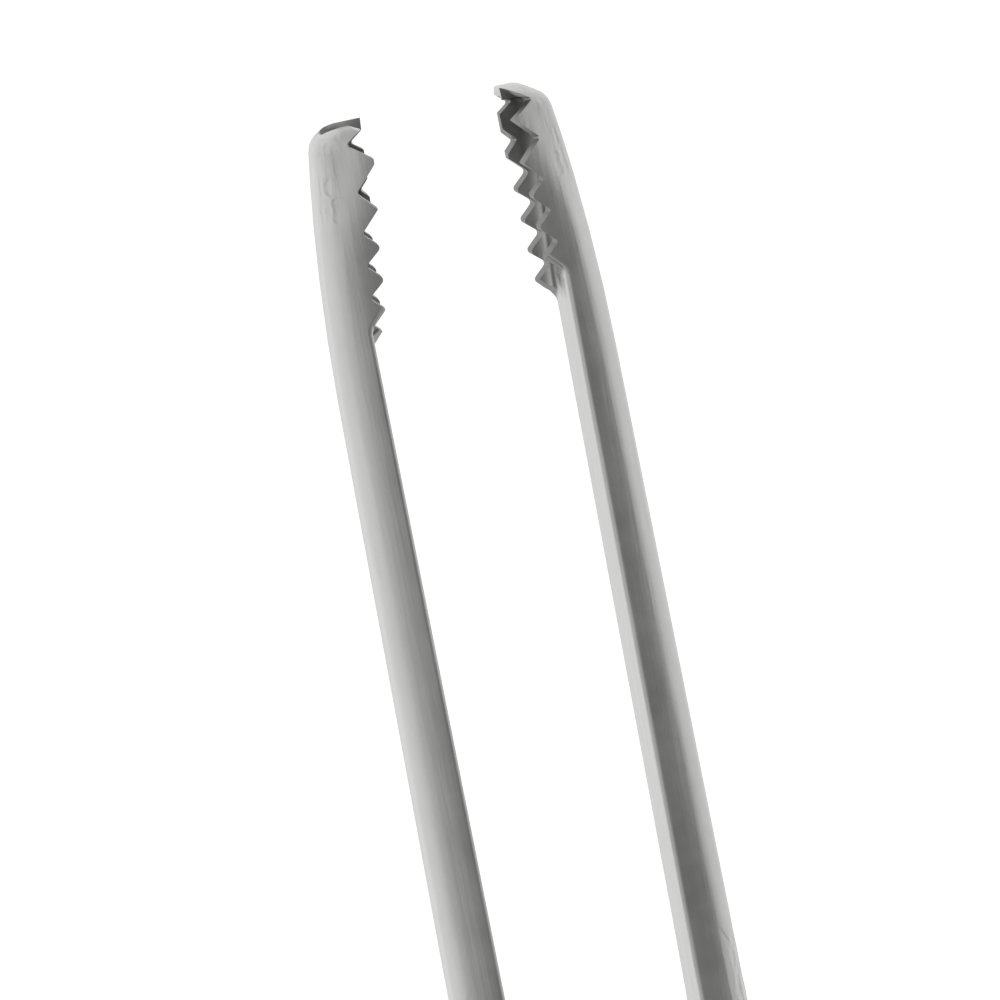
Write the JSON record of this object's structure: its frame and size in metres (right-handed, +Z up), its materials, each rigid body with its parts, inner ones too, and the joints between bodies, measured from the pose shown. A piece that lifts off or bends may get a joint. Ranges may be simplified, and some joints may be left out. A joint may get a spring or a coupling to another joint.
{
  "type": "thumb forceps",
  "caption": "Slim thumb forceps with hollow side-grasping toothed jaws, straight shanks, grooved thumb plates and a welded heel.",
  "frame": {"origin": "centre of the footprint, on the surface that the forceps lies on, halfway between heel and tips", "axes": "+Y from the heel to the jaw tips, +X across the gap from the left arm to the right arm, +Z up across the width of the arms"},
  "size_m": [0.0098, 0.12, 0.0094],
  "materials": {
    "satin_steel": "satin, glass-bead blasted and lightly brushed"
  },
  "bodies": {
    "root": {"right_arm": "satin_steel", "left_arm": "satin_steel"}
  },
  "joints": []
}
